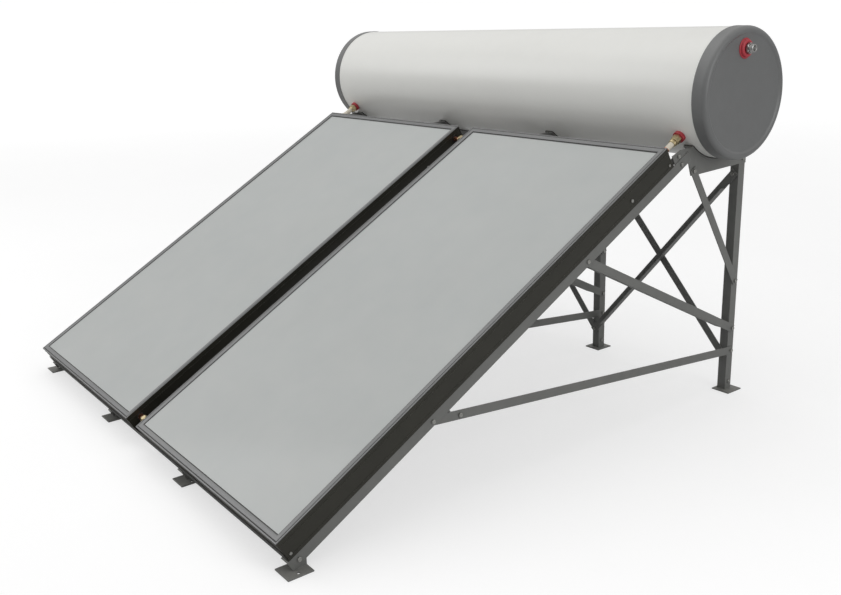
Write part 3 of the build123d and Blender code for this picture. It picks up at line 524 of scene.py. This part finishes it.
# the separate solids of one node, each as a list of its points
def islandsOf(name):
    mesh = bmesh.new()
    mesh.from_mesh(nodes[name].data)
    bmesh.ops.remove_doubles(mesh, verts=mesh.verts, dist=touching)
    seen = set()
    islands = []
    for first in mesh.verts:
        if first in seen:
            continue
        seen.add(first)
        front = [first]
        found = []
        while front:
            vertex = front.pop()
            found.append(vertex.co.copy())
            for edge in vertex.link_edges:
                other = edge.other_vert(vertex)
                if other not in seen:
                    seen.add(other)
                    front.append(other)
        islands.append(found)
    mesh.free()
    return islands


def boxOf(points):
    low = Vector([min(p[k] for p in points) for k in range(3)])
    high = Vector([max(p[k] for p in points) for k in range(3)])
    return low, high


def unitAlong(main):
    return Vector([k == main for k in range(3)])


# the direction up a collector's slope, from its pane's box
def slopeOf(side):
    low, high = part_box(side + "_glass")
    return Vector((0, high.y - low.y, high.z - low.z)).normalized()


# flat is half the width across flats, and beyondShank is where a point belongs to the head
fixingSet = {
    "headHeight": 0.0053, "headRadius": 0.0075, "flat": 0.0065, "chamfer": 0.0009,
    "crown": 0.0058, "dimpleRim": 0.0052, "dimple": 0.0048, "dimpleDepth": 0.0004,
    "washerFace": 0.0062, "washerHeight": 0.0003, "shank": 0.004, "beyondShank": 0.005,
    "neck": 0.001, "pitch": 0.00125, "threadDepth": 0.0006, "threadLength": 0.012,
    "tip": 0.0008, "bore": 0.0041, "boreRim": 0.0046, "boreChamfer": 0.0003, "count": 24,
}


def makeBolts(s):
    mesh = bmesh.new()
    headHeight, shank = s["headHeight"], s["shank"]
    hexStep = (s["headRadius"], "hex", s["flat"])
    washerFrom = headHeight - s["washerHeight"]
    for points in islandsOf("frame_bolts"):
        low, high = boxOf(points)
        size = high - low
        main = max(range(3), key=lambda k: size[k])
        direction = unitAlong(main)
        start = (low + high) / 2
        headPoints = []
        for point in points:
            away = point - start
            if (away - away[main] * direction).length > s["beyondShank"]:
                headPoints.append(away[main])
        headHigh = sum(headPoints) > 0
        start[main] = high[main] if headHigh else low[main]
        length = size[main]
        steps = [
            (s["dimpleDepth"], 0), (s["dimpleDepth"], s["dimple"]), (0, s["dimpleRim"]),
            (0, s["crown"]), (s["chamfer"], *hexStep), (washerFrom, *hexStep),
            (washerFrom, s["washerFace"]), (headHeight, s["washerFace"]), (headHeight, shank),
        ]
        threadFrom = max(headHeight + s["neck"], length - s["threadLength"])
        steps += threadRun(threadFrom, length - s["tip"], shank, s["threadDepth"], s["pitch"])
        steps += [(length, shank - s["tip"]), (length, 0)]
        axis = -direction if headHigh else direction
        turnPiece(mesh, steps, start, axis, s["count"], s["pitch"])
    finishPiece("stand_bolts", mesh, "zincSteel", ["frame_bolts"])


def makeNuts(s):
    mesh = bmesh.new()
    hexStep = (s["headRadius"], "hex", s["flat"])
    for points in islandsOf("frame_nuts"):
        low, high = boxOf(points)
        size = high - low
        main = min(range(3), key=lambda k: size[k])
        start = (low + high) / 2
        start[main] = low[main]
        length = size[main]
        steps = [
            (s["boreChamfer"], s["bore"]), (0, s["boreRim"]), (0, s["crown"]),
            (s["chamfer"], *hexStep), (length - s["chamfer"], *hexStep),
            (length, s["crown"]), (length, s["boreRim"]), (length - s["boreChamfer"], s["bore"]),
        ]
        turnPiece(mesh, steps, start, unitAlong(main), s["count"], closed=True)
    finishPiece("stand_nuts", mesh, "zincSteel", ["frame_nuts"])


makeBolts(fixingSet)
makeNuts(fixingSet)
print("bolts and nuts made")

shellLow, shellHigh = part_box("tank_shell")
tankPlace = (shellLow + shellHigh) / 2
tankRadius = (shellHigh.z - shellLow.z) / 2
capLow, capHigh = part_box("end_cap_right")
capRadius = (capHigh.z - capLow.z) / 2


shellSet = {
    "count": 256, "sheet": 0.001, "seamAngle": 205, "seamWidth": 0.012, "seamRise": 0.0012,
    "seamFoot": 0.0001, "seamSlope": 0.12, "seamEndGap": 0.02,
}


# the painted jacket, rolled from one sheet, with a raised lap seam low on its rear side
def makeShell(s):
    mesh = bmesh.new()
    half = (shellHigh.x - shellLow.x) / 2
    inner = tankRadius - s["sheet"]
    steps = [(-half, inner), (-half, tankRadius), (half, tankRadius), (half, inner)]
    turnPiece(mesh, steps, tankPlace, (1, 0, 0), s["count"], closed=True)
    start = math.radians(s["seamAngle"])
    spread = s["seamWidth"] / tankRadius
    foot, rise, bend = s["seamFoot"], s["seamRise"], s["seamSlope"]
    seam = []
    for share, proud in ((0, foot), (bend, rise), (1 - bend, rise), (1, foot)):
        angle = start + spread * share
        radius = tankRadius + proud
        seam.append((math.sin(angle) * radius, math.cos(angle) * radius))
    ends = []
    for x in (s["seamEndGap"] - half, half - s["seamEndGap"]):
        ends.append([mesh.verts.new(tankPlace + Vector((x, -y, z))) for y, z in seam])
    for number in range(len(seam) - 1):
        first, second = ends[0][number:number + 2], ends[1][number:number + 2]
        mesh.faces.new(first + second[::-1])
    for end in ends:
        mesh.faces.new(end)
    finishPiece("tank_jacket", mesh, "shellWhite", ["tank_shell"], 25)


# rimDrop is how far the side steps in behind the rim; faceRings go in to the middle
capSet = {
    "wall": 0.0015, "rimRound": 0.0004, "rim": 0.006, "rimEnd": 0.0075, "rimDrop": 0.00048,
    "corner": 0.017, "cornerSteps": 12, "dishFrom": 0.204, "dishTo": 0.193, "dishDepth": 0.005,
    "dishSteps": 8, "faceRings": (0.1372, 0.0686, 0.006, 0), "count": 192,
}


# a pressed pan: rolled rim, rounded edge, a flat land and a shallow dished face
def makeCap(name, side, node, s):
    low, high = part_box(node)
    depth = high.x - low.x
    outer = capRadius
    corner = s["corner"]
    steps = [
        (0, outer - s["wall"]), (0, outer - s["rimRound"]), (s["rimRound"], outer),
        (s["rim"], outer), (s["rimEnd"], outer - s["rimDrop"]),
    ]
    for number in range(s["cornerSteps"] + 1):
        share = number / s["cornerSteps"]
        angle = math.radians(90 * share)
        along = depth - corner + corner * math.sin(angle)
        radius = outer - corner + corner * math.cos(angle) - s["rimDrop"] * (1 - share)
        steps.append((along, radius))
    for number in range(s["dishSteps"] + 1):
        share = number / s["dishSteps"]
        ease = share * share * (3 - 2 * share)
        radius = s["dishFrom"] + (s["dishTo"] - s["dishFrom"]) * share
        steps.append((depth - s["dishDepth"] * ease, radius))
    steps += [(depth - s["dishDepth"], radius) for radius in s["faceRings"]]
    mesh = bmesh.new()
    start = Vector((low.x if side > 0 else high.x, tankPlace.y, tankPlace.z))
    turnPiece(mesh, steps, start, (side, 0, 0), s["count"])
    finishPiece(name, mesh, "capGrey", [node], 40)


makeShell(shellSet)
makeCap("cap_right", 1, "end_cap_right", capSet)
makeCap("cap_left", -1, "end_cap_left", capSet)
print("tank jacket and caps made")

# hexFrom and hexTo are measured back from the tip
nippleSet = {
    "radius": 0.0133, "bore": 0.0095, "boreChamfer": 0.0006, "hexFrom": 0.0235, "hexTo": 0.0145,
    "hexRadius": 0.0190, "hexFlat": 0.0168, "hexFace": 0.0170, "hexChamfer": 0.0012,
    "neckRadius": 0.0127, "neckLength": 0.0015, "tip": 0.0012, "pitch": 0.00181,
    "depth": 0.0013, "count": 48,
}


# a G3/4 nipple with a hexagon collar
def makeNipple(name, side, node, s):
    low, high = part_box(node)
    length = high.x - low.x
    middle = (low + high) / 2
    start = Vector((low.x if side > 0 else high.x, middle.y, middle.z))
    hexStart, hexEnd = length - s["hexFrom"], length - s["hexTo"]
    neckEnd = hexEnd + s["neckLength"]
    hexStep = (s["hexRadius"], "hex", s["hexFlat"])
    steps = [
        (0, s["bore"]), (0, s["radius"]), (hexStart, s["radius"]), (hexStart, s["hexFace"]),
        (hexStart + s["hexChamfer"], *hexStep), (hexEnd - s["hexChamfer"], *hexStep),
        (hexEnd, s["hexFace"]), (hexEnd, s["neckRadius"]), (neckEnd, s["neckRadius"]),
    ]
    steps += threadRun(neckEnd, length - s["tip"], s["radius"], s["depth"], s["pitch"])
    steps += [
        (length, s["radius"] - s["depth"]), (length, s["bore"] + s["boreChamfer"]),
        (length - s["boreChamfer"], s["bore"]),
    ]
    mesh = bmesh.new()
    turnPiece(mesh, steps, start, (side, 0, 0), s["count"], s["pitch"], closed=True)
    finishPiece(name, mesh, "threadedSteel", [node], 50)


makeNipple("hot_nipple", 1, "hot_outlet_nipple", nippleSet)
makeNipple("cold_nipple", -1, "cold_inlet_nipple", nippleSet)

# moulded grommets: a thin flange, then a fat rounded lip round the pipe
grommetSet = {
    "flange": ((0.0002, 0.0340), (0.0020, 0.0340), (0.0028, 0.0332), (0.0036, 0.0305)),
    "foot": 0.0002, "lipFrom": 0.0036, "lipOuter": 0.0302, "lipInner": 0.0142,
    "lipSteps": 10, "lipFullness": 0.7, "height": 0.0130, "count": 96,
}


def makeOutletGrommets(s):
    mesh = bmesh.new()
    sealLow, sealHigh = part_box("outlet_seals")
    middle = (s["lipOuter"] + s["lipInner"]) / 2
    half = (s["lipOuter"] - s["lipInner"]) / 2
    steps = list(s["flange"])
    for number in range(s["lipSteps"] + 1):
        angle = math.pi * number / s["lipSteps"]
        rise = math.sin(angle) ** s["lipFullness"] * (s["height"] - s["lipFrom"])
        steps.append((s["lipFrom"] + rise, middle + half * math.cos(angle)))
    steps.append((s["foot"], s["lipInner"]))
    for side, node in ((1, "hot_outlet_nipple"), (-1, "cold_inlet_nipple")):
        low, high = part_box(node)
        tip = sealHigh.x if side > 0 else sealLow.x
        centre = (low + high) / 2
        place = Vector((tip - side * s["height"], centre.y, centre.z))
        turnPiece(mesh, steps, place, (side, 0, 0), s["count"], closed=True)
    finishPiece("outlet_grommets", mesh, "redSilicone", ["outlet_seals"], 50)


makeOutletGrommets(grommetSet)
print("nipples and grommets made")

# tube is the radius of the frame's own pipe, which sets how long the riser is
riserSet = {
    "tube": 0.014, "pipe": 0.0098, "bore": 0.007, "pipeEnd": 0.002, "ferrule": 0.0132,
    "ferruleBore": 0.0102, "ferruleLength": 0.011, "edge": 0.0006, "beads": 4,
    "beadFrom": 0.0014, "beadPitch": 0.0022, "beadWidth": 0.0009, "count": 48,
}


# the short hot riser: a cream pipe with a pressed brass ferrule at each end, along the slope
def makeRiser(s):
    low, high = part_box("hot_riser_pipe")
    slope = slopeOf("right")
    length = 2 * ((high.y - low.y) / 2 - s["tube"] * slope.z) / slope.y
    start = (low + high) / 2 - slope * length / 2
    pipeFrom, pipeTo = s["pipeEnd"], length - s["pipeEnd"]
    steps = [
        (pipeFrom, s["bore"]), (pipeFrom, s["pipe"]), (pipeTo, s["pipe"]), (pipeTo, s["bore"]),
    ]
    tube = bmesh.new()
    turnPiece(tube, steps, start, slope, s["count"], closed=True)
    finishPiece("hot_riser", tube, "creamPipe", ["hot_riser_pipe"])
    outer, inner = s["ferrule"], s["ferrule"] - s["edge"]
    steps = [(0, s["ferruleBore"]), (0, inner), (s["edge"], outer)]
    for number in range(s["beads"]):
        along = s["beadFrom"] + number * s["beadPitch"]
        steps += [(along, inner), (along + s["beadWidth"], outer)]
    steps += [(s["ferruleLength"], inner), (s["ferruleLength"], s["ferruleBore"])]
    rings = bmesh.new()
    for first in (0, length - s["ferruleLength"]):
        turnPiece(rings, steps, start + slope * first, slope, s["count"], closed=True)
    finishPiece("riser_ferrules", rings, "brass", [])


makeRiser(riserSet)

# Glazing trims. A profile point is (inwards from the outer edge, above the trim's top face), in
# millimetres; thickness is the trim's own, in metres.
trimSet = {
    "profile": (
        (0, -2.0), (0, -0.5), (0.5, 0), (4.3, 0), (4.7, -0.4), (4.7, -1.9), (7.6, -1.9),
        (7.6, -0.4), (8.0, 0), (19.0, -0.1), (21.0, -0.6), (22.6, -1.8), (22.9, -3.2),
        (20.0, -3.2), (20.0, -2.0),
    ),
    "grooveBead": ((4.9, -1.8), (4.9, -1.3), (5.5, -0.9), (6.8, -0.9), (7.4, -1.3), (7.4, -1.8)),
    "glassBead": ((22.4, -3.7), (22.4, -2.9), (23.2, -2.3), (24.8, -2.7), (25.9, -3.7)),
    "thickness": 0.002,
}


# one profile run round a collector's four sides, mitred at the corners
def makeFrameRun(mesh, side, profile, thickness):
    low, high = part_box(side + "_glazing_trim")
    slope = slopeOf(side)
    normal = Vector((0, -slope.z, slope.y))
    corner = Vector((low.x, low.y, low.z + thickness * slope.y))
    width = high.x - low.x
    length = (high.y - low.y - thickness * slope.z) / slope.y
    rings = []
    for right, upper in ((0, 0), (1, 0), (1, 1), (0, 1)):
        ring = []
        for inset, rise in profile:
            inset, rise = inset / 1000, rise / 1000
            across = Vector((width - inset if right else inset, 0, 0))
            along = slope * (length - inset if upper else inset)
            ring.append(mesh.verts.new(corner + across + along + normal * rise))
        rings.append(ring)
    count = len(profile)
    for number in range(4):
        first, second = rings[number], rings[(number + 1) % 4]
        for step in range(count):
            after = (step + 1) % count
            mesh.faces.new([first[step], first[after], second[after], second[step]])


def makeTrims(s):
    for side in ("left", "right"):
        node = side + "_glazing_trim"
        mesh = bmesh.new()
        makeFrameRun(mesh, side, s["profile"], s["thickness"])
        finishPiece(side + "_trim", mesh, "trimGrey", [node], 25)
        beads = bmesh.new()
        makeFrameRun(beads, side, s["grooveBead"], s["thickness"])
        makeFrameRun(beads, side, s["glassBead"], s["thickness"])
        finishPiece(side + "_beads", beads, "blackRubber", [], 50)


makeTrims(trimSet)
print("glazing trims made")

# rounded edges on pieces that stay as they come from the frame
bevelSet = {
    "segments": 3, "angle": 40,
    "widths": {
        "header_couplings": 0.0009, "tank_unions": 0.0009, "port_seals": 0.0018,
        "header_grommets": 0.0007,
    },
}
for name, width in bevelSet["widths"].items():
    bevel = nodes[name].modifiers.new("edge", "BEVEL")
    bevel.width = width
    bevel.segments = bevelSet["segments"]
    bevel.limit_method = "ANGLE"
    bevel.angle_limit = math.radians(bevelSet["angle"])
print("small fittings rounded")

# seen and lit are the floor's tone for the camera and for its bounced light
floorSet = {
    "flatRings": (0, 2.5, 6.0, 12.0), "radius": 26.0, "rise": 7.0, "curveSteps": 12,
    "count": 96, "below": 0.0005, "seen": 0.42, "lit": 0.62, "patchScale": 0.7, "tone": 0.02,
    "glowNear": 0.60, "glowFar": 0.76, "glowStart": 3.0, "glowEnd": 12.0,
    "roughness": 0.9, "specular": 0.1,
}


# a round pale floor that curves up far away, so no edge shows from any side
def makeFloor(s):
    steps = [(0, radius) for radius in s["flatRings"]]
    flat = s["flatRings"][-1]
    for number in range(1, s["curveSteps"] + 1):
        angle = math.radians(90 * number / s["curveSteps"])
        rise = s["rise"] * (1 - math.cos(angle))
        steps.append((rise, flat + (s["radius"] - flat) * math.sin(angle)))
    mesh = bmesh.new()
    turnPiece(mesh, steps, Vector((0, 0, -s["below"])), (0, 0, 1), s["count"])
    data = meshData("floor", mesh)
    material, tree, shader = startMaterial("paleFloor")
    tone = useGroup(tree, "toneShift", Scale=s["patchScale"], Amount=s["tone"])
    seen = addNode(tree, "LightPath").outputs["Is Camera Ray"]
    level = remap(tree, seen, 0.0, 1.0, s["lit"], s["seen"])
    shade = calc(tree, "MULTIPLY", level, tone["Tone"])
    place = addNode(tree, "TexCoord").outputs["Object"]
    away = addNode(tree, "VectorMath", {0: place}, operation="LENGTH").outputs["Value"]
    far = remap(tree, away, s["glowStart"], s["glowEnd"], s["glowNear"], s["glowFar"])
    glow = calc(tree, "MULTIPLY", far, seen)
    for socket, grey in (("Base Color", shade), ("Emission Color", glow)):
        color = addNode(tree, "CombineColor", {0: grey, 1: grey, 2: grey}).outputs[0]
        tree.links.new(color, shader.inputs[socket])
    shader.inputs["Emission Strength"].default_value = 1
    shader.inputs["Roughness"].default_value = s["roughness"]
    shader.inputs["Specular IOR Level"].default_value = s["specular"]
    data.materials.append(material)
    floor = bpy.data.objects.new("floor", data)
    scene.collection.objects.link(floor)


makeFloor(floorSet)

# sky lights the object and skySeen is the backdrop the camera sees; lamps are in watts
lightSet = {
    "sky": 0.63,
    "skySeen": 0.97,
    "lamps": {
        "overhead": {"place": (-0.6, -0.6, 5.2), "aim": (0, 0.3, 0.6), "size": 4.5, "power": 72},
        "fromLeft": {"place": (-4.2, -3.4, 3.6), "aim": (0, 0, 0.7), "size": 3.2, "power": 58},
        "fromRight": {"place": (5.6, 0.9, 2.4), "aim": (0.4, 0.6, 0.7), "size": 2.4, "power": 62},
    },
}


def makeLights(s):
    for name, lamp in s["lamps"].items():
        data = bpy.data.lights.new(name, "AREA")
        data.size = lamp["size"]
        data.energy = lamp["power"]
        light = bpy.data.objects.new(name, data)
        place, aim = Vector(lamp["place"]), Vector(lamp["aim"])
        facing = (place - aim).to_track_quat("Z", "Y").to_matrix().to_4x4()
        light.matrix_world = Matrix.Translation(place) @ facing
        light.visible_camera = False
        scene.collection.objects.link(light)
    world = bpy.data.worlds.new("studio")
    scene.world = world
    world.use_nodes = True
    tree = world.node_tree
    backdrop = tree.nodes["Background"].inputs
    seen = addNode(tree, "LightPath").outputs["Is Camera Ray"]
    level = remap(tree, seen, 0.0, 1.0, s["sky"], s["skySeen"])
    tree.links.new(level, backdrop["Strength"])
    backdrop["Color"].default_value = (1, 1, 1, 1)


makeLights(lightSet)
print("floor and lights ready")
